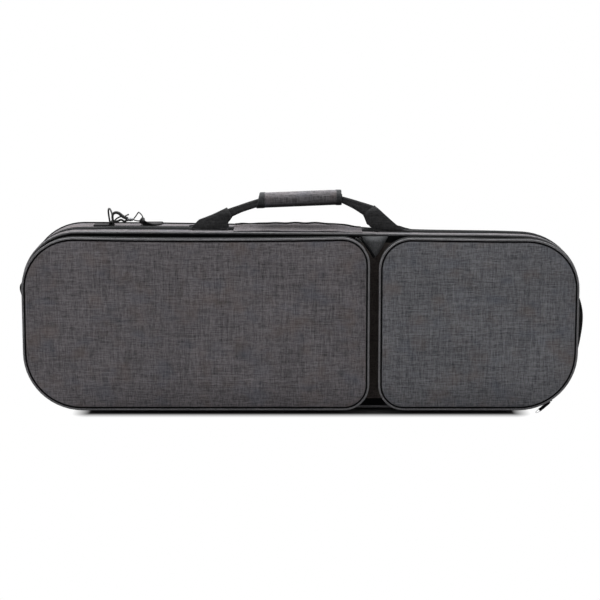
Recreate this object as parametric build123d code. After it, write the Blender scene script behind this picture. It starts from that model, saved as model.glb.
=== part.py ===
"""Oblong violin case on its long side, with two front pockets, a carrying handle and a shoulder strap.

Length runs along X, depth along Y with the pockets towards -Y, and Z is up. Everything is in millimetres.
The pieces are modelled about the plane where lid and body part, then set over the middle of their base.
"""

import os
from math import cos, radians, sin, sqrt, tan

from build123d import *

os.makedirs("parts", exist_ok=True)

# Case shells
case_length = 796.0
case_height = 256.0
top_corner = 78.0
low_corner = 92.0
wall = 12.0
lid_wall_depth = 18.0
lid_panel_thickness = 8.0
body_wall_depth = 57.0
back_panel_thickness = 10.0
back_edge_round = 7.0
lining_thickness = 5.0
lining_gap = 0.4
foot_height = 5.0
foot_radius = 9.0
foot_inset = 152.0
piping_radius = 2.0

# Main zip
tape_width = 10.0
tape_inset = 1.5
tape_thickness = 3.0
coil_height = 1.0
coil_width = 2.4
seam_gap = 0.3

# Pockets
pocket_height = 249.0
pocket_rise = 2.5
pocket_top_corner = 74.0
pocket_low_corner = 88.0
left_pocket_inset = 3.0
left_pocket_end = 97.5
right_pocket_start = 111.5
right_pocket_inset = 3.5
inner_corner = 36.0
pocket_depth = 16.0
flap_depth = 14.0
pocket_wall = 2.5
pocket_panel_thickness = 5.0
pocket_tape_width = 8.0
pocket_tape_thickness = 0.8

# Spine hinge
spine_length = 560.0
knuckle_count = 7
knuckle_radius = 1.9
spine_cord_radius = 1.0
spine_drop = 2.0
leaf_width = 12.0
leaf_thickness = 1.0
running_gap = 0.05
end_gap = 0.5

# Carrying handle
webbing_thickness = 3.0
handle_pivot_depth = 14.0
handle_pivot_rise = 3.5
handle_roll_radius = 2.2
patch_thickness = 1.0
patch_width = 46.0
patch_depth = 13.0
patch_reach = 132.0
grip_length = 118.0
grip_rise = 39.0
grip_height = 22.0
grip_depth = 26.0
grip_round = 9.0
grip_tilt = 2.0
grip_slot_height = 17.0
binding_width = 8.0
binding_growth = 1.4
strip_height = 10.0
closure_thickness = 2.0
leg_outer_foot = 157.0
leg_inner_foot = 106.0
leg_knee_reach = 146.0
leg_knee_rise = 14.0
leg_neck_reach = 99.0
leg_neck_rise = 21.0
leg_shoulder_reach = 106.0
leg_shoulder_rise = 31.0

# Flap over the zip between the handle's legs
saddle_start = -96.0
saddle_end = 88.0
saddle_front = 33.0
saddle_back = 40.0
saddle_thickness = 1.8
saddle_bead_radius = 1.6

# Zip sliders and their pulls
slider_length = 10.0
slider_width = 8.0
slider_thickness = 1.6
ear_thickness = 1.2
slider_pin_radius = 0.8
pull_width = 4.6
pull_thickness = 1.2
main_pull_length = 22.0
left_pull_length = 30.0
right_pull_length = 14.0
loop_wire_radius = 0.7
loop_length = 12.0
loop_width = 5.0
ride_gap = 0.4
low_ride_gap = 0.6
left_slider_turn = 56.0
left_pull_droop = 18.0
right_slider_turn = -55.0

# Inside of the body
bed_face = 22.0
cavity_depth = 36.0
body_bout_radius = 108.0
neck_bout_radius = 90.0
body_bout_inset = 140.0
bout_pitch = 162.0
waist_half = 76.0
neck_slot_half = 28.0
scroll_slot_half = 34.0
scroll_slot_length = 72.0
scroll_slot_gap = 30.0
box_start = 60.0
box_length = 210.0
box_low = 24.0
box_high = 58.0
box_lid_thickness = 2.5
box_lid_overlap = 3.0
box_pin_radius = 1.2
strap_band_place = 88.0
strap_band_width = 24.0
strap_band_thickness = 2.0
end_bay_inset = 52.0
end_bay_length = 58.0
end_bay_low = 74.0
end_bay_high = 206.0

# Bow holders on the lid's lining
spinner_inset = 102.0
bow_offset = 62.0
spinner_length = 34.0
spinner_width = 9.0
spinner_thickness = 4.0
spinner_post_radius = 3.0
spinner_post_height = 7.0
rest_inset = 86.0
rest_length = 20.0
rest_width = 30.0
rest_height = 11.0
rest_notch = 13.0

# Strap rings, hooks and shoulder strap
ring_inset = 122.0
ring_place = 34.0
ring_wire_radius = 1.6
ring_half_width = 14.0
ring_height = 20.0
ring_round = 8.0
ring_hang = 12.0
right_ring_drop = 34.0
tab_length = 26.0
tab_width = 20.0
tab_thickness = 1.6
hook_wire = 2.4
hook_depth = 3.2
jaw_inner = 3.0
jaw_length = 12.0
hook_length = 28.0
barrel_radius = 3.6
barrel_length = 7.0
ball_radius = 2.2
strap_loop_length = 13.0
strap_loop_half = 18.0
strap_loop_round = 2.6
strap_loop_wire = 1.3
strap_width = 30.0
strap_thickness = 2.0
strap_low = 60.0
strap_bend = 8.0
lever_length = 4.4
lever_thickness = 2.0

# Grab handle on the right end
grab_high = 165.0
grab_low = 72.0
grab_width = 38.0
grab_bow = 5.6
grab_thickness = 2.2

# Places that follow from the sizes above
case_low = foot_height
case_high = foot_height + case_height
half_length = case_length / 2
shell_box = (-half_length, half_length, case_low, case_high)
shell_radii = (top_corner, top_corner, low_corner, low_corner)
foot_reach = half_length - foot_inset
ring_reach = half_length - ring_inset
left_pocket_start = left_pocket_inset - half_length
right_pocket_end = half_length - right_pocket_inset
body_bout_place = body_bout_inset - half_length
neck_bout_place = body_bout_place + bout_pitch
end_bay_end = half_length - end_bay_inset
end_bay_start = end_bay_end - end_bay_length
scroll_slot_end = end_bay_start - scroll_slot_gap
neck_slot_end = scroll_slot_end - scroll_slot_length
spinner_place = spinner_inset - half_length
rest_place = half_length - rest_inset
lid_back = -tape_width
lid_front = lid_back - lid_wall_depth - lid_panel_thickness
panel_back = lid_front + lid_panel_thickness
body_front = tape_width
body_back = body_front + body_wall_depth
back_face = body_back + back_panel_thickness
half_seam = seam_gap / 2
pocket_low = case_low + pocket_rise
pocket_high = pocket_low + pocket_height
pocket_split = lid_front - pocket_depth
flap_back = pocket_split - seam_gap
flap_front = flap_back - flap_depth
left_box = (left_pocket_start, left_pocket_end, pocket_low, pocket_high)
left_radii = (pocket_top_corner, inner_corner, inner_corner, pocket_low_corner)
right_box = (right_pocket_start, right_pocket_end, pocket_low, pocket_high)
right_radii = (inner_corner, pocket_top_corner, pocket_low_corner, inner_corner)
hinge_height = case_low - spine_drop

nodes = {}
pivots = {}
aims = {}


def outline(box, radii, inset=0):
    """Upright face with round corners, their radii given top left, top right, low right, low left."""
    left, right = box[0] + inset, box[1] - inset
    low, high = box[2] + inset, box[3] - inset
    corners = [(left, high), (right, high), (right, low), (left, low)]
    face = Pos((left + right) / 2, (low + high) / 2) * Rectangle(right - left, high - low)
    for corner, radius in zip(corners, radii):
        nearest = face.vertices().sort_by_distance(Vertex(*corner))[0]
        face = fillet(nearest, radius - inset)
    return face


def slab(face, front, back):
    """Upright face given depth, from front to back along Y."""
    return extrude(Plane.XZ.offset(-back) * face, amount=back - front)


def ring(box, radii, outer, inner, front, back):
    """Band between two insets of an outline."""
    return slab(outline(box, radii, outer) - outline(box, radii, inner), front, back)


def round_ring(box, radii, inset, depth, radius):
    """Round cord laid along an inset of an outline."""
    path = (Plane.XZ.offset(-depth) * outline(box, radii, inset)).wire()
    section = Plane(path @ 0, z_dir=path % 0) * Circle(radius)
    return sweep(section, path=path)


def block(x_low, x_high, y_low, y_high, z_low, z_high):
    """Plain block between six bounds."""
    middle = Pos((x_low + x_high) / 2, (y_low + y_high) / 2, (z_low + z_high) / 2)
    return middle * Box(x_high - x_low, y_high - y_low, z_high - z_low)


def rod_along_x(radius, start, end, y, z):
    """Round rod from start to end along X."""
    return Pos((start + end) / 2, y, z) * Rot(0, 90, 0) * Cylinder(radius, end - start)


def rod_along_y(radius, start, end, x, z):
    """Round rod from start to end along Y."""
    return Pos(x, (start + end) / 2, z) * Rot(90, 0, 0) * Cylinder(radius, end - start)


def plate(points, front, back):
    """Upright polygon in X and Z, given depth along Y."""
    return slab(make_face(Polyline(*points, close=True)), front, back)


def shells():
    """Foam walls and panels of body and lid, with the piping on their edges."""
    back_rim = ring(shell_box, shell_radii, tape_inset + tape_thickness, wall, half_seam, body_front)
    back_wall = ring(shell_box, shell_radii, 0, wall, body_front, body_back) + back_rim
    back_panel = slab(outline(shell_box, shell_radii), body_back, back_face)
    back_panel = fillet(back_panel.faces().sort_by(Axis.Y)[-1].edges(), back_edge_round)
    back_piping = round_ring(shell_box, shell_radii, 0, body_back, piping_radius)
    nodes["back_wall"] = back_wall - back_piping
    nodes["back_panel"] = back_panel - back_piping
    nodes["back_piping"] = back_piping

    lid_rim = ring(shell_box, shell_radii, tape_inset + tape_thickness, wall, lid_back, -half_seam)
    lid_wall = ring(shell_box, shell_radii, 0, wall, panel_back, lid_back) + lid_rim
    lid_piping = round_ring(shell_box, shell_radii, 0, lid_front + piping_radius, piping_radius)
    nodes["lid_wall"] = lid_wall
    nodes["lid_panel"] = slab(outline(shell_box, shell_radii), lid_front, panel_back) - lid_piping
    nodes["lid_piping"] = lid_piping
    inside = wall + lining_gap
    nodes["lid_lining"] = slab(
        outline(shell_box, shell_radii, inside), panel_back, panel_back + lining_thickness
    )


def zip_half(near, far):
    """One tape of the main zip with its half of the coil, from the seam outwards."""
    low, high = min(near, far), max(near, far)
    tape = ring(shell_box, shell_radii, tape_inset, tape_inset + tape_thickness, low, high)
    coil_end = near + (coil_width if far > near else -coil_width)
    coil_low, coil_high = min(near, coil_end), max(near, coil_end)
    return tape + ring(shell_box, shell_radii, tape_inset - coil_height, tape_inset, coil_low, coil_high)


def main_zip():
    """Both tapes of the main zip."""
    nodes["main_tape_back"] = zip_half(half_seam, body_front)
    nodes["main_tape_lid"] = zip_half(-half_seam, lid_back)


def pocket(side, box, radii):
    """Pocket wall on the lid, and the front that unzips from it with its piping."""
    cord_inset = piping_radius - pocket_tape_thickness
    cord = round_ring(box, radii, cord_inset, flap_front + piping_radius, piping_radius)
    front_wall = ring(box, radii, pocket_tape_thickness, pocket_wall + pocket_tape_thickness,
                      flap_front + pocket_panel_thickness, flap_back)
    front_tape = ring(box, radii, 0, pocket_tape_thickness, flap_back - pocket_tape_width, flap_back)
    panel = slab(outline(box, radii, cord_inset), flap_front, flap_front + pocket_panel_thickness)
    rear_wall = ring(box, radii, pocket_tape_thickness, pocket_wall + pocket_tape_thickness,
                     pocket_split, lid_front)
    rear_tape = ring(box, radii, 0, pocket_tape_thickness, pocket_split, pocket_split + pocket_tape_width)
    nodes[side + "_panel"] = panel - cord
    nodes[side + "_piping"] = cord
    nodes[side + "_front_wall"] = front_wall - cord
    nodes[side + "_front_tape"] = front_tape
    nodes[side + "_pocket_wall"] = rear_wall
    nodes[side + "_pocket_tape"] = rear_tape
    pivots[side + "_pocket_hinge"] = (0, flap_back, pocket_low)


def spine():
    """Folded spine between body and lid: knuckles in turn on one cord, each carried by a leaf."""
    pitch = (spine_length + end_gap) / knuckle_count
    leaves = {"spine_leaf_back": None, "spine_leaf_lid": None}
    clear = knuckle_radius + seam_gap
    for name, way in (("spine_leaf_back", 1), ("spine_leaf_lid", -1)):
        y_ends = sorted((way * clear, way * leaf_width))
        leaves[name] = block(
            -spine_length / 2, spine_length / 2, *y_ends, case_low - leaf_thickness, case_low
        )
    for index in range(knuckle_count):
        start = -spine_length / 2 + index * pitch
        end = start + pitch - end_gap
        name, way = (("spine_leaf_back", 1), ("spine_leaf_lid", -1))[index % 2]
        barrel = rod_along_x(knuckle_radius, start, end, 0, hinge_height)
        tie_ends = sorted((0, way * (clear + leaf_thickness)))
        tie = block(start, end, *tie_ends, case_low - leaf_thickness, hinge_height + knuckle_radius)
        leaves[name] += barrel + tie
    bore = rod_along_x(spine_cord_radius + running_gap, -spine_length, spine_length, 0, hinge_height)
    for name, leaf in leaves.items():
        nodes[name] = leaf - bore
    nodes["spine_cord"] = rod_along_x(
        spine_cord_radius, -spine_length / 2, spine_length / 2, 0, hinge_height
    )
    pivots["lid_hinge"] = (0, 0, hinge_height)


def feet():
    """Small pads that the case stands on, two under the lid and two under the body."""
    back_depth = body_back - piping_radius - ride_gap - foot_radius
    lid_depth = lid_front + 2 * piping_radius + ride_gap + foot_radius
    for name, depth in (("back_feet", back_depth), ("lid_feet", lid_depth)):
        pad = Pos(foot_reach, depth, foot_height / 2) * Cylinder(foot_radius, foot_height)
        nodes[name] = pad + mirror(pad, Plane.YZ)


def leg_points(side, base):
    """Corners of one folded webbing leg, from its wide foot to the grip, before the lean."""
    rise = grip_rise + side * (grip_length / 2) * tan(radians(grip_tilt))
    half = strip_height / 2
    grip_end = grip_length / 2
    return [
        (side * leg_outer_foot, base),
        (side * leg_knee_reach, base + leg_knee_rise),
        (side * leg_shoulder_reach, base + leg_shoulder_rise),
        (side * grip_end, base + rise + half),
        (side * grip_end, base + rise - half),
        (side * leg_neck_reach, base + leg_neck_rise),
        (side * leg_inner_foot, base),
    ]


def handles():
    """Front and rear webbing handles, the padded wrap on the front one and the closing strip on the rear."""
    base = case_high + handle_pivot_rise
    grip_middle = base + grip_rise
    half_strip = strip_height / 2
    tilt = Pos(0, 0, grip_middle) * Rot(0, -grip_tilt, 0)
    half_grip = grip_length / 2
    for name, way in (("front_handle", -1), ("rear_handle", 1)):
        inner = way * handle_pivot_depth
        pivot = inner + way * webbing_thickness
        lean = Pos(0, inner, base) * Rot(way * lean_angle(), 0, 0) * Pos(0, -inner, -base)
        front, back = sorted((inner, pivot))
        webbing = None
        for side in (-1, 1):
            leg = lean * plate(leg_points(side, base), front, back)
            feet_ends = sorted((side * leg_outer_foot, side * leg_inner_foot))
            roll = rod_along_x(handle_roll_radius, *feet_ends, (inner + pivot) / 2, base)
            webbing = leg + roll if webbing is None else webbing + leg + roll
        strip_low, strip_high = sorted((way * strip_near(), way * (strip_near() + webbing_thickness)))
        strip_reach = half_grip + webbing_thickness
        strip = tilt * block(-strip_reach, strip_reach, strip_low, strip_high, -half_strip, half_strip)
        nodes[name + "_webbing"] = webbing + strip
        pivots[name + "_hinge"] = (0, pivot, base)
        patch = block(patch_reach - patch_width / 2, patch_reach + patch_width / 2,
                      inner - patch_depth / 2, inner + patch_depth / 2,
                      case_high, case_high + patch_thickness)
        nodes[name + "_patches"] = patch + mirror(patch, Plane.YZ)
    section = Plane.YZ * RectangleRounded(grip_depth, grip_height, grip_round)
    wrap = extrude(section, amount=half_grip, both=True)
    collar_section = Plane.YZ * RectangleRounded(
        grip_depth + binding_growth, grip_height + binding_growth, grip_round + binding_growth / 2
    )
    for side in (-1, 1):
        ends = Pos(side * (half_grip - binding_width / 2), 0, 0) * extrude(
            collar_section, amount=binding_width / 2, both=True
        )
        wrap = wrap + ends
    slot_low = strip_near() - seam_gap
    slot = block(-grip_length, grip_length, slot_low, grip_depth, -grip_height, grip_slot_height / 2)
    core = block(-grip_length, grip_length, -strip_near() - webbing_thickness, slot_low,
                 -half_strip, half_strip)
    nodes["grip_wrap"] = tilt * (wrap - slot - core) - nodes["front_handle_webbing"]
    closure_front = grip_depth / 2 + binding_growth / 2 + seam_gap
    closure = block(-half_grip, half_grip, closure_front, closure_front + closure_thickness,
                    -grip_slot_height / 2, grip_slot_height / 2)
    filler = extrude(section, amount=half_grip, both=True) & block(
        -half_grip, half_grip, strip_near(), closure_front, -grip_height, half_strip
    )
    bridge = block(-half_grip, half_grip, strip_near() + webbing_thickness, closure_front,
                   -half_strip, half_strip)
    nodes["grip_closure"] = tilt * (closure + bridge + filler) - nodes["rear_handle_webbing"]


def strip_near():
    """Distance from the seam plane to the near face of the webbing inside the grip."""
    return webbing_thickness / 2


def lean_angle():
    """Lean of each handle towards the seam plane, in degrees."""
    reach = handle_pivot_depth - strip_near() - webbing_thickness / 2
    return 90 - acos_deg(reach / grip_rise)


def acos_deg(share):
    """Angle in degrees whose cosine is the share."""
    return Vector(share, sqrt(1 - share * share)).get_angle(Vector(1, 0))


def saddle():
    """Fabric flap over the zip between the handle's legs, turning on its sewn rear edge."""
    low = case_high + piping_radius + ride_gap
    bead_place = saddle_back + saddle_bead_radius
    sheet = block(saddle_start, saddle_end, -saddle_front, bead_place, low, low + saddle_thickness)
    bead = rod_along_x(saddle_bead_radius, saddle_start, saddle_end, bead_place, low + saddle_thickness / 2)
    nodes["saddle_flap"] = sheet + bead
    pivots["saddle_hinge"] = (0, bead_place, low + saddle_thickness / 2)


def slider(pin_height):
    """Slider lying in X and Y with its ears up along Z, the track along X and the pin along Y."""
    base = block(
        -slider_length / 2, slider_length / 2, -slider_width / 2, slider_width / 2, 0, slider_thickness
    )
    ear_far = pull_width / 2 + running_gap + ear_thickness
    for side in (-1, 1):
        ends = sorted((side * (ear_far - ear_thickness), side * ear_far))
        base += block(-ear_thickness, ear_thickness, *ends, slider_thickness, pin_height + ear_thickness)
    return base + rod_along_y(slider_pin_radius, -ear_far, ear_far, 0, pin_height)


def pull(length, pin_height):
    """Pull tab lying back along -X from the slider's pin."""
    eye = slider_pin_radius + running_gap
    half = pull_width / 2
    tab = block(-length, 0, -half, half, pin_height - pull_thickness / 2, pin_height + pull_thickness / 2)
    knuckle = rod_along_y(eye + pull_thickness, -half, half, 0, pin_height)
    return tab + knuckle - rod_along_y(eye, -half - ear_thickness, half + ear_thickness, 0, pin_height)


def sliders():
    """One slider on the main zip and one on each pocket, each with its pull."""
    pin_height = slider_thickness + slider_pin_radius + running_gap + pull_thickness + ride_gap
    end_wall = -half_length + tape_inset - coil_height - ride_gap
    rise = case_high - top_corner
    place = Pos(end_wall, 0, rise) * Rot(0, -90, 0)
    nodes["main_slider"] = place * slider(pin_height)
    nodes["main_pull"] = place * pull(main_pull_length, pin_height)
    pivots["main_pull"] = (end_wall - pin_height, 0, rise)
    pivots["main_slider_corner"] = (-half_length + top_corner, 0, rise)

    track = pocket_split - half_seam
    left_centre = (left_pocket_end - inner_corner, pocket_high - inner_corner)
    right_centre = (right_pocket_end - pocket_low_corner, pocket_low + pocket_low_corner)
    settings = (
        ("left", left_centre, inner_corner + ride_gap, left_slider_turn, left_pull_length,
         180 + left_pull_droop),
        ("right", right_centre, pocket_low_corner + low_ride_gap, right_slider_turn, right_pull_length, 180),
    )
    for side, centre, radius, turn, length, swing in settings:
        place = Pos(centre[0], track, centre[1]) * Rot(0, 90 - turn, 0) * Pos(0, 0, radius)
        nodes[side + "_pocket_slider"] = place * slider(pin_height)
        laid = Pos(0, 0, pin_height) * Rot(0, swing, 0) * Pos(0, 0, -pin_height)
        tab = pull(length, pin_height)
        if side == "right":
            eye_place = -length + loop_wire_radius + pull_thickness
            eye_radius = loop_wire_radius + running_gap
            hole = Pos(eye_place, 0, pin_height) * Cylinder(eye_radius, pull_thickness * 3)
            tab = tab - hole
            nodes["right_pull_loop"] = place * laid * pull_loop(eye_place, pin_height)
        nodes[side + "_pocket_pull"] = place * laid * tab
        far = radius + pin_height
        pivots[side + "_pocket_pull"] = (
            centre[0] + far * cos(radians(turn)), track, centre[1] + far * sin(radians(turn))
        )
        pivots[side + "_slider_corner"] = (centre[0], track, centre[1])


def pull_loop(eye_place, height):
    """Closed wire loop through the tab's eye, standing on edge across the tab."""
    path_face = RectangleRounded(loop_length, loop_width, loop_width / 2 - loop_wire_radius)
    path = (Pos(eye_place - loop_length / 2, 0, height) * (Plane.XZ * path_face)).wire()
    section = Plane(path @ 0, z_dir=path % 0) * Circle(loop_wire_radius)
    return sweep(section, path=path)


def bed():
    """Foam bed with the instrument's hollow, a box with its lid, an open bay and the neck band."""
    inside = wall + lining_gap
    middle = (case_low + case_high) / 2
    block_face = outline(shell_box, shell_radii, inside)
    hollow = Pos(body_bout_place, middle) * Circle(body_bout_radius)
    hollow += Pos(neck_bout_place, middle) * Circle(neck_bout_radius)
    span = neck_bout_place - body_bout_place
    hollow += Pos(body_bout_place + span / 2, middle) * Rectangle(span, 2 * waist_half)
    neck_length = neck_slot_end - neck_bout_place
    hollow += Pos(neck_bout_place + neck_length / 2, middle) * Rectangle(neck_length, 2 * neck_slot_half)
    scroll_length = scroll_slot_end - neck_slot_end
    hollow += Pos(neck_slot_end + scroll_length / 2, middle) * Rectangle(scroll_length, 2 * scroll_slot_half)
    foam = slab(block_face, bed_face, body_back)
    foam -= slab(hollow, bed_face, bed_face + cavity_depth)
    floor = bed_face + cavity_depth
    box_far = box_start + box_length
    foam -= block(box_start, box_far, bed_face, floor, box_low, box_high)
    foam -= block(end_bay_start, end_bay_end, bed_face, floor, end_bay_low, end_bay_high)
    nodes["instrument_bed"] = foam

    lid_low = box_low - box_lid_overlap
    lid_high = box_high + box_lid_overlap
    lid_back_face = bed_face - seam_gap
    lid_front_face = lid_back_face - box_lid_thickness
    pin_height = lid_low - box_pin_radius
    pin_depth = lid_back_face - box_pin_radius
    lid = block(box_start - box_lid_overlap, box_far + box_lid_overlap, lid_front_face, lid_back_face,
                pin_height, lid_high)
    lid += rod_along_x(box_pin_radius, box_start, box_far, pin_depth, pin_height)
    nodes["box_lid"] = lid
    pivots["box_lid_hinge"] = (0, pin_depth, pin_height)

    band_half = neck_slot_half + strap_band_width / 2
    band_start = strap_band_place - strap_band_width / 2
    nodes["neck_band"] = block(band_start, band_start + strap_band_width,
                               bed_face - strap_band_thickness, bed_face,
                               middle - band_half, middle + band_half)


def bow_holders():
    """Turning spinners for the bow frogs and notched rests for the tips."""
    face = panel_back + lining_thickness
    middle = (case_low + case_high) / 2
    rests = Part()
    for name, way in (("low", -1), ("high", 1)):
        height = middle + way * bow_offset
        post_end = face + spinner_post_height
        post = rod_along_y(spinner_post_radius, face + seam_gap, post_end, spinner_place, height)
        arm = Pos(spinner_place, post_end, height) * Rot(90, 0, 0) * extrude(
            SlotOverall(spinner_length, spinner_width), amount=-spinner_thickness
        )
        nodes["bow_spinner_" + name] = post + arm
        pivots["bow_spinner_" + name] = (spinner_place, 0, height)
        rest = block(rest_place - rest_length / 2, rest_place + rest_length / 2, face, face + rest_height,
                     height - rest_width / 2, height + rest_width / 2)
        notch = block(rest_place - rest_length, rest_place + rest_length,
                      face + rest_height / 3, face + rest_height,
                      height - rest_notch / 2, height + rest_notch / 2)
        rests += rest - notch
    nodes["bow_rests"] = rests


def strap_ring():
    """Half-round ring standing in Y and Z over its straight bar, with the bar on Y."""
    face = Pos(0, ring_height / 2) * Rectangle(2 * ring_half_width, ring_height)
    face = fillet(face.vertices().group_by(Axis.Y)[-1], ring_round)
    face = fillet(face.vertices().group_by(Axis.Y)[0], ring_wire_radius * 2)
    path = (Plane.YZ * face).wire()
    section = Plane(path @ 0, z_dir=path % 0) * Circle(ring_wire_radius)
    return sweep(section, path=path)


def hook_reach():
    """Distance from the ring's wire to the far bar of the strap loop."""
    return hook_length + 2 * ball_radius + strap_loop_wire + running_gap + strap_loop_length


def hook():
    """Snap hook along +X from the wire it grips, then its lever, and its swivel with the strap loop."""
    half = hook_wire / 2
    near = -ring_wire_radius - ride_gap
    jaw_middle = near + jaw_length / 2
    outer = SlotOverall(jaw_length + 2 * hook_wire, 2 * jaw_inner + 2 * hook_wire)
    jaw = Pos(jaw_middle, 0) * (outer - SlotOverall(jaw_length, 2 * jaw_inner))
    shank_start = near + jaw_length + half
    shank_end = hook_length - barrel_length
    shank = Pos((shank_start + shank_end) / 2, 0) * Rectangle(shank_end - shank_start, hook_wire)
    body = extrude(Plane.XZ * (jaw + shank), amount=hook_depth / 2, both=True)
    body += rod_along_x(barrel_radius, shank_end, hook_length, 0, 0)
    lever_start = near + jaw_length + hook_wire + ride_gap
    lever = block(lever_start, lever_start + lever_length, -hook_depth / 2, hook_depth / 2,
                  half + running_gap, half + running_gap + lever_thickness)
    ball = Pos(hook_length + ball_radius, 0, 0) * Sphere(ball_radius)
    loop_face = RectangleRounded(strap_loop_length, 2 * strap_loop_half, strap_loop_round)
    path = (Pos(hook_reach() - strap_loop_length / 2, 0, 0) * loop_face).wire()
    section = Plane(path @ 0, z_dir=path % 0) * Circle(strap_loop_wire)
    return body, lever, (ball, sweep(section, path=path))


def ring_tab(drop):
    """Webbing sleeve round a bar on Y, its sewn tail along -X with its far face drop below the bar."""
    sleeve = rod_along_y(ring_wire_radius + running_gap + tab_thickness, -tab_width / 2, tab_width / 2, 0, 0)
    tail = block(-tab_length, 0, -tab_width / 2, tab_width / 2, -drop, -ring_wire_radius)
    return sleeve + tail - rod_along_y(ring_wire_radius + running_gap, -tab_width, tab_width, 0, 0)


def strap():
    """Strap rings in their sewn tabs, a hook on each, and the shoulder strap behind the case."""
    bar_height = case_high + piping_radius + ride_gap + ring_wire_radius
    sleeve_radius = strap_loop_wire + running_gap + strap_thickness
    top_lie = case_high + piping_radius + running_gap
    back_lie = back_face + running_gap
    half = strap_width / 2

    left = Pos(-ring_reach, ring_place, bar_height)
    nodes["left_ring"] = left * strap_ring()
    pivots["left_ring"] = (-ring_reach, ring_place, bar_height)
    drop = bar_height + ring_height - top_lie - sleeve_radius
    run = sqrt(hook_reach() ** 2 - drop ** 2)
    left_wire = (-ring_reach, ring_place, bar_height + ring_height)
    left_aim = Plane(left_wire, x_dir=(run, 0, -drop), z_dir=(drop, 0, run))

    right_bar = back_face + ring_wire_radius + tab_thickness + ride_gap
    hang = radians(ring_hang)
    wire_depth = right_bar + ring_height * sin(hang)
    right_height = case_high - right_ring_drop
    wire_height = right_height - ring_height * cos(hang)
    right = Pos(ring_reach, right_bar, right_height) * Rot(-180 + ring_hang, 0, 0) * Rot(0, 0, 90)
    nodes["right_ring"] = right * strap_ring()
    pivots["right_ring"] = (ring_reach, right_bar, right_height)
    pull_in = wire_depth - back_lie - sleeve_radius
    fall = sqrt(hook_reach() ** 2 - pull_in ** 2)
    right_wire = (ring_reach, wire_depth, wire_height)
    right_aim = Plane(right_wire, x_dir=(0, -pull_in, -fall), z_dir=(0, fall, -pull_in))

    left_tab = left * ring_tab(ring_wire_radius + piping_radius + ride_gap)
    upright = Plane((ring_reach, right_bar, right_height), x_dir=(0, 0, -1), z_dir=(0, 1, 0))
    right_tab = upright * ring_tab(right_bar - back_face)
    nodes["ring_tabs"] = left_tab + right_tab
    bodies = Part()
    loops = []
    for side, aim in (("left", left_aim), ("right", right_aim)):
        body, lever, loop = hook()
        bodies += aim * body
        loops += [aim * piece for piece in loop]
        nodes[side + "_hook_lever"] = aim * lever
        aims[side + "_hook_lever"] = aim.x_dir
    nodes["snap_hooks"] = bodies
    nodes["strap_loops"] = Compound(loops)

    left_bar_place = -ring_reach + run
    left_bar_height = top_lie + sleeve_radius
    right_bar_height = wire_height - fall
    right_bar_depth = back_lie + sleeve_radius
    turn_start = left_bar_place + sleeve_radius
    turn_end = turn_start + strap_width
    bend_depth = back_lie - strap_bend
    bend_height = top_lie - strap_bend
    right_start = ring_reach - half
    right_end = ring_reach + half
    sleeve = rod_along_y(
        sleeve_radius, ring_place - half, ring_place + half, left_bar_place, left_bar_height
    )
    webbing = sleeve + block(left_bar_place, turn_end, ring_place - half, ring_place + half,
                             top_lie, top_lie + strap_thickness)
    webbing += block(turn_start, turn_end, ring_place - half, bend_depth, top_lie, top_lie + strap_thickness)
    bend_face = Circle(strap_bend + strap_thickness) - Circle(strap_bend)
    reach = strap_bend + strap_thickness
    bend_face &= Pos(reach / 2, reach / 2) * Rectangle(reach, reach)
    bend = extrude(Plane.YZ * bend_face, amount=strap_width)
    webbing += Pos(turn_start, bend_depth, bend_height) * bend
    back_far = back_lie + strap_thickness
    webbing += block(turn_start, turn_end, back_lie, back_far, strap_low, bend_height)
    webbing += block(turn_start, right_end, back_lie, back_far, strap_low, strap_low + strap_width)
    webbing += block(right_start, right_end, back_lie, back_far, strap_low, right_bar_height)
    webbing += rod_along_x(sleeve_radius, right_start, right_end, right_bar_depth, right_bar_height)
    bore = strap_loop_wire + running_gap
    webbing -= rod_along_y(
        bore, ring_place - strap_width, ring_place + strap_width, left_bar_place, left_bar_height
    )
    webbing -= rod_along_x(bore, right_start - half, right_end + half, right_bar_depth, right_bar_height)
    nodes["shoulder_strap"] = webbing


def grab_handle():
    """Bowed webbing handle on the right end."""
    middle = (grab_high + grab_low) / 2
    depth = (body_front + body_back) / 2
    corner_height = case_low + low_corner - grab_low
    low_place = half_length - low_corner + sqrt(low_corner ** 2 - corner_height ** 2)
    inner = ThreePointArc((low_place, grab_low), (half_length + grab_bow, middle), (half_length, grab_high))
    outer = Pos(grab_thickness, 0, 0) * inner
    face = make_face([inner, Line(inner @ 1, outer @ 1), outer, Line(inner @ 0, outer @ 0)])
    nodes["grab_handle"] = slab(face, depth - grab_width / 2, depth + grab_width / 2)


shells()
main_zip()
pocket("left", left_box, left_radii)
pocket("right", right_box, right_radii)
spine()
feet()
handles()
saddle()
sliders()
bed()
bow_holders()
strap()
grab_handle()

boxes = [shape.bounding_box() for shape in nodes.values()]
left_end = min(box.min.X for box in boxes)
right_end = max(box.max.X for box in boxes)
front_end = min(box.min.Y for box in boxes)
back_end = max(box.max.Y for box in boxes)
shift = Vector(-(left_end + right_end) / 2, -(front_end + back_end) / 2, 0)
for name, shape in nodes.items():
    export_step(Pos(shift) * shape, "parts/" + name + ".step")
print("shift", shift)
print("length", right_end - left_end, "depth", back_end - front_end)
for name, place in pivots.items():
    print(name, Vector(*place) + shift)
for name, way in aims.items():
    print(name, "along", way)
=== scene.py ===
"""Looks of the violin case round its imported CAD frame. Sizes below are millimetres of the model unless said."""
import math

import bmesh
import bpy
import numpy as np
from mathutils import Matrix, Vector, noise


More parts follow.
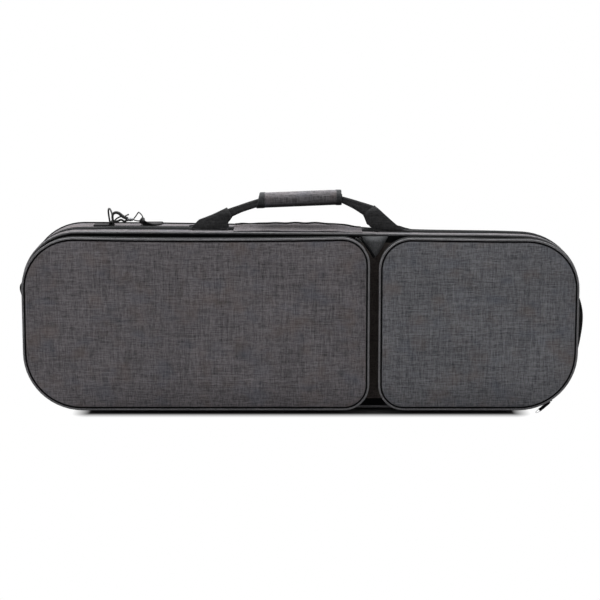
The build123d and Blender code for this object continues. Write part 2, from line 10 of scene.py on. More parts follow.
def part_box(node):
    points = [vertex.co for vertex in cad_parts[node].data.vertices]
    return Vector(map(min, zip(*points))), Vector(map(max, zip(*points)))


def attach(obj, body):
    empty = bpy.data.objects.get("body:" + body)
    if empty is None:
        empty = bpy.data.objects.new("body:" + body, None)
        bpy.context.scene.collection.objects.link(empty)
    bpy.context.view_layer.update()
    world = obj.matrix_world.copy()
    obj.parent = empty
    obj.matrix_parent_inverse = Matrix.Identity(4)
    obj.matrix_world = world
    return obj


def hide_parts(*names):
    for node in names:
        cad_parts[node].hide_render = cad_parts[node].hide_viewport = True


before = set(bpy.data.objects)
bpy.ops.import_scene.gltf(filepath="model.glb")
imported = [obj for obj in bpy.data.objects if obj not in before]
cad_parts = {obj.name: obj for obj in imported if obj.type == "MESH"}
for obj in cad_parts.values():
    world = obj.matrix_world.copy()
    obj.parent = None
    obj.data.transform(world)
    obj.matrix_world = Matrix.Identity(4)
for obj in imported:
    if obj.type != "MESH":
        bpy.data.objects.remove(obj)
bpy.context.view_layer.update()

MM = 0.001
BODY_BACK, FLAP_FRONT = 67.0, -66.3
wall_low, wall_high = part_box("back_wall")
SHIFT_X = (wall_low[0] + wall_high[0]) / 2 / MM
SHIFT_Y = wall_high[1] / MM - BODY_BACK


def outline_of(node):
    """Left, right, low and high bounds of a node, in millimetres of the model."""
    low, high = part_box(node)
    return (low[0] / MM - SHIFT_X, high[0] / MM - SHIFT_X, low[2] / MM, high[2] / MM)


# Outlines and their corner radii: top left, top right, low right, low left
SHELL = outline_of("back_wall")
SHELL_RADII = (78.0, 78.0, 92.0, 92.0)
LEFT = outline_of("left_front_tape")
LEFT_RADII = (74.0, 39.0, 36.0, 83.0)
RIGHT = outline_of("right_front_tape")
RIGHT_RADII = (46.0, 74.0, 83.0, 36.0)


def at(point):
    """Model point in millimetres to the row frame in metres."""
    return ((point[0] + SHIFT_X) * MM, (point[1] + SHIFT_Y) * MM, point[2] * MM)


def ease(value):
    value = min(1.0, max(0.0, value))
    return value * value * (3 - 2 * value)


def settle(x, y, z):
    """The padded shell's top sinks towards its right rear corner, and its zip stands up in a low ridge."""
    back = min(1.0, max(0.0, (y + 40) / 107))
    side = ease((x + 330) / 700)
    drop = (0.34 + 0.66 * back ** 1.6) * 10.0 * side
    drop += 1.0 * ease((x - 100) / 100) + 2.0 * ease((x - 270) / 90)
    drop += 2.2 * back * ease((x - 60) / 60) + 1.6 * back * ease((x - 310) / 60)
    ridge = 2.6 * math.exp(-((y - 7) / 13) ** 2) * ease((x + 322) / 60)
    height = min(1.0, max(0.0, (z - 110) / 151)) ** 1.3
    return (x, y, z + (ridge - drop) * height)


def bed_sink(x, y, z):
    """The padded bed's top gives way under the settled shell, and its bays stay where they are."""
    return (x, y, z + min(0.0, settle(x, y, z)[2] - z) * ease((z - 218) / 30))


def sag(x, y, z):
    """The pocket fronts' tops hang a little, most near the case's right end."""
    if x < 90:
        drop = max(0.6, 2.6 * (1 - 0.85 * ((x + 125) / 200) ** 2))
    else:
        drop = 1.4 + 1.9 * ease((x - 130) / 170)
    return (x, y, z - drop * min(1.0, max(0.0, (z - 150) / 105)) ** 1.5)


# Materials


def linear(*rgb):
    """Colour written as 0 to 255 on screen, turned to the linear values a shader takes."""
    out = []
    for value in rgb:
        value /= 255
        out.append(value / 12.92 if value <= 0.04045 else ((value + 0.055) / 1.055) ** 2.4)
    return (*out, 1.0)


class Shader:
    """A material with helpers that add its nodes."""

    def __init__(self, name):
        self.material = bpy.data.materials.new(name)
        self.material.use_nodes = True
        self.tree = self.material.node_tree
        self.surface = self.tree.nodes["Principled BSDF"]

    def put(self, kind, **values):
        node = self.tree.nodes.new(kind)
        for key, value in values.items():
            setattr(node, key, value)
        return node

    def wire(self, source, target):
        if isinstance(source, (int, float)):
            target.default_value = source
        elif isinstance(source, tuple):
            target.default_value = source
        else:
            self.tree.links.new(source, target)

    def maths(self, operation, first, second=0.0, clamp=False):
        node = self.put("ShaderNodeMath", operation=operation, use_clamp=clamp)
        self.wire(first, node.inputs[0])
        self.wire(second, node.inputs[1])
        return node.outputs[0]

    def scaled(self, vector, sizes):
        node = self.put("ShaderNodeVectorMath", operation="MULTIPLY")
        self.wire(vector, node.inputs[0])
        node.inputs[1].default_value = sizes
        return node.outputs[0]

    def noise(self, vector, scale=1.0, detail=2.0, rough=0.5):
        node = self.put("ShaderNodeTexNoise")
        self.wire(vector, node.inputs["Vector"])
        node.inputs["Scale"].default_value = scale
        node.inputs["Detail"].default_value = detail
        node.inputs["Roughness"].default_value = rough
        return node.outputs["Fac"]

    def span(self, value, low, high, to_low=0.0, to_high=1.0):
        node = self.put("ShaderNodeMapRange")
        node.inputs["From Min"].default_value = low
        node.inputs["From Max"].default_value = high
        node.inputs["To Min"].default_value = to_low
        node.inputs["To Max"].default_value = to_high
        self.wire(value, node.inputs["Value"])
        return node.outputs["Result"]

    def mix(self, factor, first, second, blend="MIX"):
        node = self.put("ShaderNodeMix", data_type="RGBA", blend_type=blend)
        self.wire(factor, node.inputs["Factor"])
        self.wire(first, node.inputs[6])
        self.wire(second, node.inputs[7])
        return node.outputs[2]

    def bump(self, height, distance, strength=1.0, under=None):
        node = self.put("ShaderNodeBump")
        node.inputs["Strength"].default_value = strength
        node.inputs["Distance"].default_value = distance
        self.wire(height, node.inputs["Height"])
        if under is not None:
            self.wire(under, node.inputs["Normal"])
        return node.outputs["Normal"]

    def place(self):
        coordinates = self.put("ShaderNodeTexCoord")
        return coordinates.outputs["Object"], coordinates.outputs["Normal"]

    def threads(self, length, width, detail=2.0, rough=0.55):
        """Yarn streaks lying in the surface: along two of the three axes, whichever the surface holds."""
        spot, normal = self.place()
        size = self.put("ShaderNodeVectorMath", operation="ABSOLUTE")
        self.wire(normal, size.inputs[0])
        parts = self.put("ShaderNodeSeparateXYZ")
        self.wire(size.outputs[0], parts.inputs[0])
        total, weight = None, None
        for index in range(3):
            scales = [1 / width] * 3
            scales[index] = 1 / length
            streak = self.noise(self.scaled(spot, tuple(scales)), 1.0, detail, rough)
            share = self.maths("SUBTRACT", 1.0, parts.outputs[index])
            part = self.maths("MULTIPLY", streak, share)
            total = part if total is None else self.maths("ADD", total, part)
            weight = share if weight is None else self.maths("ADD", weight, share)
        return self.maths("DIVIDE", total, weight)


def woven(name, dark, light, warm=0.0, sheen=0.15, rough=0.9, fine=0.0009, length=0.014, relief=0.00025,
          contrast=0.1, mottle=0.1, shine=0.08, under=1.0):
    """Cloth of crossed yarns, from a dark to a light yarn colour, with uneven yarns and a soft sheen; an under below 1
    paints shade on faces that point down.
    """
    s = Shader(name)
    yarns = s.threads(length, fine)
    slubs = s.threads(length * 4, fine * 1.9, 1.0)
    spot, _ = s.place()
    tone = s.span(yarns, 0.5 - contrast, 0.5 + contrast)
    slub = s.span(slubs, 0.5 - contrast * 0.9, 0.5 + contrast * 0.9)
    tone = s.maths("ADD", s.maths("MULTIPLY", tone, 0.62), s.maths("MULTIPLY", slub, 0.38))
    colour = s.mix(tone, linear(*dark), linear(*light))
    patches = s.noise(spot, 14.0, 3.0, 0.6)
    shade = s.span(patches, 0.3, 0.7, 1 - mottle, 1 + mottle)
    shaded = s.put("ShaderNodeVectorMath", operation="SCALE")
    s.wire(colour, shaded.inputs[0])
    s.wire(shade, shaded.inputs["Scale"])
    colour = shaded.outputs[0]
    # Painted shade: faces whose normal points down in the piece's own frame darken, to under times the colour.
    if under < 1.0:
        split = s.put("ShaderNodeSeparateXYZ")
        s.wire(s.put("ShaderNodeTexCoord").outputs["Normal"], split.inputs[0])
        underside_shade = s.put("ShaderNodeVectorMath", operation="SCALE")
        s.wire(colour, underside_shade.inputs[0])
        s.wire(s.span(split.outputs["Z"], -0.62, 0.2, under, 1.0), underside_shade.inputs["Scale"])
        colour = underside_shade.outputs[0]
    if warm:
        brown = s.span(s.noise(spot, 31.0, 2.0), 0.52, 0.75, 0.0, warm)
        blue = s.span(s.noise(s.scaled(spot, (1.0, 1.0, 1.7)), 23.0, 2.0), 0.55, 0.78, 0.0, warm)
        colour = s.mix(brown, colour, linear(96, 84, 78))
        colour = s.mix(blue, colour, linear(78, 84, 96))
    s.wire(colour, s.surface.inputs["Base Color"])
    s.surface.inputs["Roughness"].default_value = rough
    s.surface.inputs["Sheen Weight"].default_value = sheen
    s.surface.inputs["Sheen Roughness"].default_value = 0.5
    s.surface.inputs["Specular IOR Level"].default_value = shine
    weave = s.threads(fine * 3.2, fine * 0.8, 1.0)
    ripple = s.bump(s.noise(spot, 26.0, 2.0), 0.004, 0.25)
    s.wire(s.bump(s.maths("ADD", weave, s.maths("MULTIPLY", yarns, 0.7)), relief, 1.0, ripple),
           s.surface.inputs["Normal"])
    return s.material


def solid(name, colour, rough, metal=0.0, marks=0.12, grain=420.0, relief=0.00004, shine=0.5):
    """Metal, rubber or moulded plastic with fine grain, uneven gloss and worn high spots."""
    s = Shader(name)
    spot, _ = s.place()
    patches = s.noise(spot, 90.0, 4.0, 0.6)
    shade = s.span(patches, 0.3, 0.7, 1 - marks, 1 + marks)
    base = s.put("ShaderNodeVectorMath", operation="SCALE")
    s.wire(linear(*colour)[:3], base.inputs[0])
    s.wire(shade, base.inputs["Scale"])
    wear = s.put("ShaderNodeNewGeometry")
    worn = s.span(wear.outputs["Pointiness"], 0.57, 0.72, 0.0, 0.25)
    s.wire(s.mix(worn, base.outputs[0], linear(*[min(255, c + 45) for c in colour])),
           s.surface.inputs["Base Color"])
    s.wire(s.span(patches, 0.3, 0.7, rough - 0.06, rough + 0.1), s.surface.inputs["Roughness"])
    s.surface.inputs["Metallic"].default_value = metal
    s.surface.inputs["Specular IOR Level"].default_value = shine
    s.wire(s.bump(s.noise(spot, grain, 3.0), relief, 0.6), s.surface.inputs["Normal"])
    return s.material


HEATHER = woven("heather_cloth", (55, 53, 55), (116, 112, 115), warm=0.35, length=0.0075, contrast=0.13, sheen=0.06)
HEATHER_COOL = woven("heather_cool", (57, 57, 60), (118, 118, 122), warm=0.35, length=0.0075, contrast=0.13,
                     sheen=0.06)
# Grip cloth: the heather with painted shade, darker on the grip's down-facing underside.
SHADED_GRIP_CLOTH = woven("grip_cloth_painted_shade", (60, 58, 60), (128, 125, 128), warm=0.35, length=0.0075, contrast=0.13, sheen=0.06,
                   under=0.12)
# Piping cloth: the panels' heather painted lighter, a painted highlight for the light the round cords catch from above.
LIT_HEATHER_CORD = woven("heather_piping_painted_highlight", (76, 76, 78), (124, 123, 125), fine=0.0006, length=0.004, sheen=0.05)
# Wedge cloth: the lid's dark face cloth painted lighter, as painted light falling from above on the top of the gap
# between the pockets.
LIT_WEDGE_CLOTH = woven("wedge_cloth_painted_light", (70, 71, 73), (104, 105, 107), fine=0.0006, length=0.004, relief=0.0001, sheen=0.05)
GUSSET = woven("gusset_cloth", (10, 10, 11), (24, 24, 25), fine=0.0006, length=0.004, relief=0.0002, sheen=0.0,
               shine=0.03)
BLACK_CLOTH = woven("black_cloth", (54, 49, 48), (84, 78, 75), fine=0.0006, length=0.004, relief=0.0002, mottle=0.15,
                    sheen=0.0)
# Grip end binding, with painted shade darkening its down-facing underside.
SHADED_GRIP_BINDING = woven("grip_binding_painted_shade", (44, 45, 46), (76, 77, 79), fine=0.0007, length=0.005, sheen=0.03,
                under=0.15)
SEAM = woven("seam_binding", (9, 9, 10), (20, 20, 21), fine=0.0005, length=0.003, sheen=0.0, shine=0.04)
WEBBING = woven("black_webbing", (20, 20, 21), (45, 45, 46), fine=0.0011, length=0.007, relief=0.0005, sheen=0.05,
                shine=0.15)
TAPE = woven("zip_tape_cloth", (14, 15, 15), (28, 29, 30), fine=0.0005, length=0.002, sheen=0.0, shine=0.04)
PLUSH = woven("plush_lining", (52, 56, 62), (78, 82, 88), fine=0.0016, length=0.003, relief=0.0006, sheen=0.7,
              contrast=0.2)
THREAD = woven("grey_thread", (88, 88, 90), (130, 130, 132), fine=0.0003, length=0.001, relief=0.0001)
COIL = solid("zip_coil", (30, 31, 32), 0.4, marks=0.2, relief=0.00002, shine=0.25)
BLACK_METAL = solid("black_metal_paint", (9, 9, 10), 0.5, shine=0.3)
BRIGHT_METAL = solid("bright_wire", (205, 205, 208), 0.22, metal=1.0)
DARK_NICKEL = solid("dark_nickel", (96, 97, 99), 0.3, metal=0.9)
RUBBER = solid("black_rubber", (26, 26, 26), 0.82, grain=900.0)
PLASTIC = solid("black_plastic", (24, 24, 25), 0.5, grain=700.0)


# Meshes


def loop(box, radii, inset, arc=14, pitch=13.0):
    """Closed outline with round corners, clockwise seen from the front, with as many points at any inset."""
    left, right, low, high = box
    corners = (
        (left, high, 1, -1, radii[0], 180),
        (right, high, -1, -1, radii[1], 90),
        (right, low, -1, 1, radii[2], 0),
        (left, low, 1, 1, radii[3], -90),
    )
    points, arcs = [], []
    for x, z, way_x, way_z, radius, start in corners:
        size = max(radius - inset, 0.0)
        reach = max(radius, inset)
        middle = (x + way_x * reach, z + way_z * reach)
        arcs.append([
            (middle[0] + size * math.cos(math.radians(start - 90 * i / arc)),
             middle[1] + size * math.sin(math.radians(start - 90 * i / arc)))
            for i in range(arc + 1)
        ])
    lengths = (
        right - left - radii[0] - radii[1],
        high - low - radii[1] - radii[2],
        right - left - radii[2] - radii[3],
        high - low - radii[3] - radii[0],
    )
    for index in range(4):
        points += arcs[index]
        here, there = arcs[index][-1], arcs[(index + 1) % 4][0]
        count = max(2, round(lengths[index] / pitch))
        for i in range(1, count):
            share = i / count
            points.append((here[0] + (there[0] - here[0]) * share, here[1] + (there[1] - here[1]) * share))
    return points


def rows_of(box, radii, profile, put=settle):
    """Rows of points for a profile of (inset, depth) pairs swept round an outline."""
    return [[put(x, y, z) for x, z in loop(box, radii, inset)] for inset, y in profile]


def fill_rows(box, radii, inset, y, way, crown, reach, put=settle, count=22, wave=0.5, seed=0.0):
    """Rows from an outline in to the middle line of its box, swelling by crown within reach of the edge."""
    edge = loop(box, radii, inset)
    half = (box[3] - box[2]) / 2
    middle = (box[2] + box[3]) / 2
    if box[1] - box[0] > box[3] - box[2]:
        ends = (box[0] + half, box[1] - half)
    else:
        ends = ((box[0] + box[1]) / 2,) * 2
    rows = []
    for k in range(1, count + 1):
        share = (k / count) ** 1.45
        row = []
        for x, z in edge:
            to_x, to_z = min(max(x, ends[0]), ends[1]), middle
            px, pz = x + (to_x - x) * share, z + (to_z - z) * share
            depth = math.dist((px, pz), (x, z))
            swell = crown * ease(depth / reach) ** 0.7
            ripple = noise.noise(Vector((px * 0.011, pz * 0.014, seed))) * wave * ease(depth / 45)
            row.append(put(px, y + way * (swell + ripple), pz))
        rows.append(row)
    return rows


def build(name, rows, bands, materials, closed=True, ends_closed=False, sharp=50.0, flip=False):
    """Mesh of quads between rows; bands gives each gap between rows its material index."""
    count = len(rows[0])
    points = [at(p) for row in rows for p in row]
    faces, marks = [], []
    gaps = len(rows) if ends_closed else len(rows) - 1
    for i in range(gaps):
        nxt = (i + 1) % len(rows)
        for j in range(count if closed else count - 1):
            k = (j + 1) % count
            faces.append((i * count + j, i * count + k, nxt * count + k, nxt * count + j))
            marks.append(bands[i] if isinstance(bands, (list, tuple)) else bands)
    mesh = bpy.data.meshes.new(name)
    mesh.from_pydata(points, [], faces)
    for polygon, mark in zip(mesh.polygons, marks):
        polygon.material_index = mark
    for material in materials:
        mesh.materials.append(material)
    work = bmesh.new()
    work.from_mesh(mesh)
    bmesh.ops.remove_doubles(work, verts=work.verts, dist=2e-6)
    bmesh.ops.recalc_face_normals(work, faces=work.faces)
    if flip:
        bmesh.ops.reverse_faces(work, faces=work.faces)
    work.to_mesh(mesh)
    work.free()
    mesh.shade_smooth()
    mesh.set_sharp_from_angle(angle=math.radians(sharp))
    piece = bpy.data.objects.new(name, mesh)
    bpy.context.scene.collection.objects.link(piece)
    return piece


def dress(piece, body, slot, *nodes):
    """Puts a finished piece on its body and in place of its CAD nodes; its slot is not used."""
    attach(piece, body)
    if nodes:
        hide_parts(*nodes)
    return piece


def cord_ring(name, box, radii, inset, y, radius, material, put=settle, sides=10):
    """Covered cord round an outline, its thickness a little uneven."""
    path = [Vector(put(x, y, z)) for x, z in loop(box, radii, inset)]
    rows = []
    count = len(path)
    for i, point in enumerate(path):
        run = (path[(i + 1) % count] - path[i - 1]).normalized()
        out = Vector((0, 1, 0)).cross(run).normalized()
        up = run.cross(out)
        size = radius * (1 + 0.03 * noise.noise(point * 0.05))
        rows.append([
            tuple(point + out * size * math.cos(2 * math.pi * k / sides) + up * size * math.sin(2 * math.pi * k / sides))
            for k in range(sides)
        ])
    return build(name, rows, 0, [material], ends_closed=True, sharp=70)


def teeth(name, box, radii, inset, y_low, y_high, height, pitch, material, put=settle, start=0.0, skip=None):
    """Row of small coil teeth standing out of a zip's edge."""
    path = [Vector((x, 0, z)) for x, z in loop(box, radii, inset, arc=40, pitch=4.0)]
    lengths = [(path[(i + 1) % len(path)] - path[i]).length for i in range(len(path))]
    total = sum(lengths)
    points, faces = [], []
    travelled, target, index = 0.0, start, 0
    while target < total and index < len(path):
        if travelled + lengths[index] < target:
            travelled += lengths[index]
            index += 1
            continue
        a, b = path[index], path[(index + 1) % len(path)]
        share = (target - travelled) / lengths[index]
        spot = a.lerp(b, share)
        run = (b - a).normalized()
        out = Vector((run.z, 0, -run.x)) * -1
        target += pitch
        if skip and skip(spot):
            continue
        half = pitch * 0.3
        base = len(points)
        for s, o, y in ((-1, 0, y_low), (1, 0, y_low), (1, 0, y_high), (-1, 0, y_high),
                        (-0.7, 1, y_low + 0.2), (0.7, 1, y_low + 0.2), (0.7, 1, y_high - 0.2), (-0.7, 1, y_high - 0.2)):
            p = spot + run * half * s + out * height * o
            points.append(at(put(p.x, y, p.z)))
        faces += [tuple(base + k for k in f) for f in
                  ((3, 2, 1, 0), (4, 5, 6, 7), (0, 1, 5, 4), (1, 2, 6, 5), (2, 3, 7, 6), (3, 0, 4, 7))]
    mesh = bpy.data.meshes.new(name)
    mesh.from_pydata(points, [], faces)
    mesh.materials.append(material)
    work = bmesh.new()
    work.from_mesh(mesh)
    bmesh.ops.recalc_face_normals(work, faces=work.faces)
    work.to_mesh(mesh)
    work.free()
    piece = bpy.data.objects.new(name, mesh)
    bpy.context.scene.collection.objects.link(piece)
    return piece


def ribbon(name, path, across, width, thickness, material, closed=False, edge=0.35):
    """Flat strap along a path of model points; across is its width direction at each of them."""
    rows = []
    path = [Vector(p) for p in path]
    for i, point in enumerate(path):
        before, after = path[max(i - 1, 0)], path[min(i + 1, len(path) - 1)]
        run = (after - before).normalized()
        side = Vector(across[i] if isinstance(across, list) else across)
        side = (side - run * side.dot(run)).normalized()
        up = run.cross(side)
        wide = width[i] if isinstance(width, list) else width
        row = []
        for s, u in ((-0.5, -0.2), (-0.47, -0.5), (-0.25, -0.5), (0, -0.5), (0.25, -0.5), (0.47, -0.5), (0.5, -0.2),
                     (0.5, 0.2), (0.47, 0.5), (0.25, 0.5), (0, 0.5), (-0.25, 0.5), (-0.47, 0.5), (-0.5, 0.2)):
            row.append(tuple(point + side * wide * s + up * thickness * u))
        rows.append(row)
    piece = build(name, rows, 0, [material], sharp=60)
    cap(piece)
    return piece


def cap(piece):
    """Closes the open ends of a swept piece."""
    work = bmesh.new()
    work.from_mesh(piece.data)
    bmesh.ops.holes_fill(work, edges=[e for e in work.edges if e.is_boundary], sides=0)
    bmesh.ops.recalc_face_normals(work, faces=work.faces)
    work.to_mesh(piece.data)
    work.free()


def soften(node, name, material, voxel, passes, body, slot, put=None, swell=0.0):
    """Rounded, slightly uneven cloth-covered form of a CAD node's own solid."""
    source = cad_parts[node]
    piece = bpy.data.objects.new(name, source.data.copy())
    bpy.context.scene.collection.objects.link(piece)
    remesh = piece.modifiers.new("remesh", "REMESH")
    remesh.mode = "VOXEL"
    remesh.voxel_size = voxel * MM
    if passes:
        relax = piece.modifiers.new("relax", "SMOOTH")
        relax.factor = 0.6
        relax.iterations = passes
    shape = bpy.data.meshes.new_from_object(piece.evaluated_get(bpy.context.evaluated_depsgraph_get()))
    piece.modifiers.clear()
    piece.data = shape
    shape.materials.clear()
    shape.materials.append(material)
    for vertex in shape.vertices:
        x, y, z = vertex.co.x / MM - SHIFT_X, vertex.co.y / MM - SHIFT_Y, vertex.co.z / MM
        if swell:
            push = vertex.normal * swell * (0.6 + noise.noise(Vector((x, y, z)) * 0.06))
            x, y, z = x + push.x, y + push.y, z + push.z
        vertex.co = at(put(x, y, z) if put else (x, y, z))
    shape.shade_smooth()
    return dress(piece, body, slot, node)


# Shells


def shells():
    inner = [(12.0, 30.0), (12.0, 0.6), (11.4, 0.25), (5.2, 0.25), (4.6, 0.6), (4.6, 9.6), (1.6, 9.8), (0.2, 10.2),
             (-0.2, 10.8), (-0.35, 14.0), (-0.3, 18.6), (0.15, 19.2), (0.1, 19.9), (-0.2, 24.0), (-0.4, 40.0),
             (-0.2, 58.0), (0.0, 63.5), (0.7, 65.2), (1.6, 66.2)]
    rows = rows_of(SHELL, SHELL_RADII, inner)
    turn = [(1.6 + 6.0 * (1 - math.cos(a)), 68.4 + 7.4 * math.sin(a)) for a in np.radians([4, 20, 38, 56, 74, 90])]
    rows += rows_of(SHELL, SHELL_RADII, turn)
    rows += fill_rows(SHELL, SHELL_RADII, turn[-1][0], turn[-1][1], 1, 2.2, 60, wave=0.8, seed=3.0)
    bands = [0] * 7 + [1] * 4 + [0] * (len(rows) - 11)
    back = build("back_shell", rows, bands, [HEATHER, TAPE])
    dress(back, "case_body", "shell_fabric", "back_wall", "back_panel")
    dress(cord_ring("back_cord", SHELL, SHELL_RADII, 0.3, 67.2, 1.9, TAPE), "case_body", "piping_fabric",
          "back_piping")

    profile = [(12.0, -29.0), (12.0, -0.6), (11.4, -0.25), (5.2, -0.25), (4.6, -0.6), (4.6, -9.6), (1.6, -9.8),
               (0.4, -10.6), (0.0, -12.0), (-0.3, -18.0), (-0.3, -25.0), (0.0, -30.0), (0.8, -31.6), (1.8, -32.4),
               (2.6, -34.6), (4.2, -35.6)]
    rows = rows_of(SHELL, SHELL_RADII, profile)
    rows += fill_rows(SHELL, SHELL_RADII, 4.2, -35.7, -1, 0.3, 40, count=12, wave=0.0)
    bands = [0] * 13 + [2] * 4 + [1] * (len(rows) - 17)
    lid = build("lid_shell", rows, bands, [HEATHER, BLACK_CLOTH, SEAM])
    dress(lid, "lid", "shell_fabric", "lid_wall", "lid_panel")
    dress(cord_ring("lid_cord", SHELL, SHELL_RADII, 1.3, -35.2, 1.9, LIT_HEATHER_CORD), "lid", "piping_fabric",
          "lid_piping")

    profile = [(13.4, -27.8), (12.6, -27.0), (12.6, -25.6), (13.6, -24.0), (16.0, -23.0)]
    rows = rows_of(SHELL, SHELL_RADII, profile)
    rows += fill_rows(SHELL, SHELL_RADII, 16.0, -23.0, 1, 1.0, 50, count=14, wave=0.5, seed=9.0)
    dress(build("lid_plush", rows, 0, [PLUSH]), "lid", "lining", "lid_lining")


def main_zip():
    for way, body, node in ((1, "case_body", "main_tape_back"), (-1, "lid", "main_tape_lid")):
        profile = [(4.5, way * 9.7), (0.9, way * 9.95), (-0.1, way * 9.6), (-0.7, way * 7.4), (-0.9, way * 4.4),
                   (-0.8, way * 2.6), (-0.2, way * 0.9), (0.6, way * 0.2), (4.5, way * 0.2)]
        rows = rows_of(SHELL, SHELL_RADII, profile)
        tape = build("tape_" + body, rows, 0, [TAPE], ends_closed=True)
        dress(tape, body, "zip_tape", node)
        low, high = sorted((way * 0.15, way * 2.4))
        row = teeth("coil_" + body, SHELL, SHELL_RADII, 0.1, low, high, 1.1, 1.7, COIL,
                    start=0.0 if way > 0 else 0.85, skip=lambda p: p.z < 6 and abs(p.x) < 285)
        dress(row, body, "zip_tape")


def pocket(side, box, radii):
    cloth = HEATHER if side == "left" else HEATHER_COOL
    flap = side + "_flap"
    rows = rows_of(box, radii, [(3.4, -61.6), (2.0, -63.2), (2.6, -64.0), (3.9, -64.3)], sag)
    rows += rows_of(box, radii, [(4.7, -65.0), (6.0, -65.8)], sag)
    rows += fill_rows(box, radii, 6.0, -65.8, -1, 1.9, 34, sag, wave=0.5, seed=box[0])
    outer = len(rows)
    rows = list(reversed(fill_rows(box, radii, 3.4, -61.4, 1, 0.3, 30, sag, count=8, wave=0.0))) + rows
    inner = len(rows) - outer
    bands = [1] * inner + [1] * 4 + [0] * (outer - 5)
    panel = build(side + "_pocket_front", rows, bands, [cloth, SEAM])
    dress(panel, flap, "shell_fabric", side + "_panel")
    dress(cord_ring(side + "_pocket_cord", box, radii, 0.8, FLAP_FRONT + 2.2, 1.4, LIT_HEATHER_CORD, sag), flap,
          "piping_fabric", side + "_piping")

    profile = [(3.3, -52.5), (3.3, -61.2), (1.4, -61.4), (0.9, -61.0), (0.5, -60.2), (0.1, -59.8), (-0.1, -56.5),
               (0.1, -53.2), (0.6, -52.45)]
    rows = rows_of(box, radii, profile, sag)
    gusset = build(side + "_front_gusset", rows, [1, 0, 0, 0, 0, 1, 1, 1, 1], [GUSSET, TAPE], ends_closed=True)
    dress(gusset, flap, "shell_fabric", side + "_front_wall", side + "_front_tape")

    profile = [(3.3, -36.3), (3.3, -51.8), (0.6, -51.85), (0.1, -51.2), (-0.1, -48.0), (0.1, -44.6), (0.5, -44.2),
               (1.0, -43.6), (0.7, -40.0), (0.9, -37.0), (1.6, -36.2)]
    rows = rows_of(box, radii, profile, sag)
    gusset = build(side + "_rear_gusset", rows, [1, 1, 1, 1, 1, 0, 0, 0, 0, 0, 0], [GUSSET, TAPE],
                   ends_closed=True)
    dress(gusset, "lid", "shell_fabric", side + "_pocket_wall", side + "_pocket_tape")

    hinge = (lambda p: p.z < 12 and box[0] + 60 < p.x < box[1] - 40)
    row = teeth(side + "_flap_coil", box, radii, 0.3, -54.1, -52.35, 0.8, 1.7, COIL, sag, skip=hinge)
    dress(row, flap, "zip_tape")
    row = teeth(side + "_wall_coil", box, radii, 0.3, -51.95, -50.2, 0.8, 1.7, COIL, sag, start=0.85, skip=hinge)
    dress(row, "lid", "zip_tape")


# Handle and straps


GRIP_MIDDLE = 303.5
TILT = math.radians(2.0)
HANDLE_BASE = 264.5


def lean_y(way, height):
    """Depth of a handle leg's inner face at a height over its foot."""
    reach = 14.0 - 1.5 - 1.5
    angle = math.asin(reach / (GRIP_MIDDLE - HANDLE_BASE))
    return way * (14.0 - height * math.tan(angle))


LEG_PANEL = {
    -1: ([(158, -3.2), (157, -1.5), (152, 5), (146, 11.2), (137, 14.4), (127, 18.2), (117, 22.8), (106, 28.0)],
         [(104, -3.2), (104.2, -1.5), (105.3, 3), (105.6, 6.2), (103.8, 9.4), (101.4, 12), (99.6, 14.6), (98, 17)]),
    1: ([(158, -5.5), (151, -3.8), (144.5, -0.8), (137, 4.4), (129.5, 10.8), (121.5, 17.8), (114.5, 24.2), (106, 31)],
        [(110, -5.5), (105.5, -3), (99.5, 1), (96, 6), (94, 10.5), (92.6, 14), (91, 17), (89.6, 19.6)]),
}


def sink(way, height):
    """The rear handle's legs bend lower than the front's, so that the front ones cover them."""
    return 0.34 * (15.5 - 0.294 * height) * ease((height + 3) / 9) if way > 0 else 0.0


def leg(name, side, way):
    """Wide panel of one folded webbing leg, from its sewn foot to the fold."""
    upper, lower = LEG_PANEL[side]
    rows = []
    across = 10
    for i, (a, b) in enumerate(zip(upper, lower)):
        front, rear = [], []
        for j in range(across + 1):
            t = j / across
            x, h = a[0] + (b[0] - a[0]) * t, a[1] + (b[1] - a[1]) * t
            face = lean_y(way, max(h, 0.0)) + way * 1.5
            swell = math.sin(math.pi * t)
            edge = 0.35 + 0.65 * min(1.0, 3.2 * min(t, 1 - t)) ** 0.6
            belly = 1.25 * edge + 0.9 * swell * ease((i - 2) / 4)
            bend = 0.8 * swell * (1 - ease((i - 1) / 4)) + 0.35 * noise.noise(Vector((x * 0.06, h * 0.09, side * 2.0)))
            z = HANDLE_BASE + h - sink(way, h)
            front.append((side * x, face + way * bend - belly, z))
            rear.append((side * x, face + way * bend + belly, z))
        rows.append(front + list(reversed(rear)))
    piece = build(name, rows, 0, [WEBBING], sharp=60)
    cap(piece)
    return piece


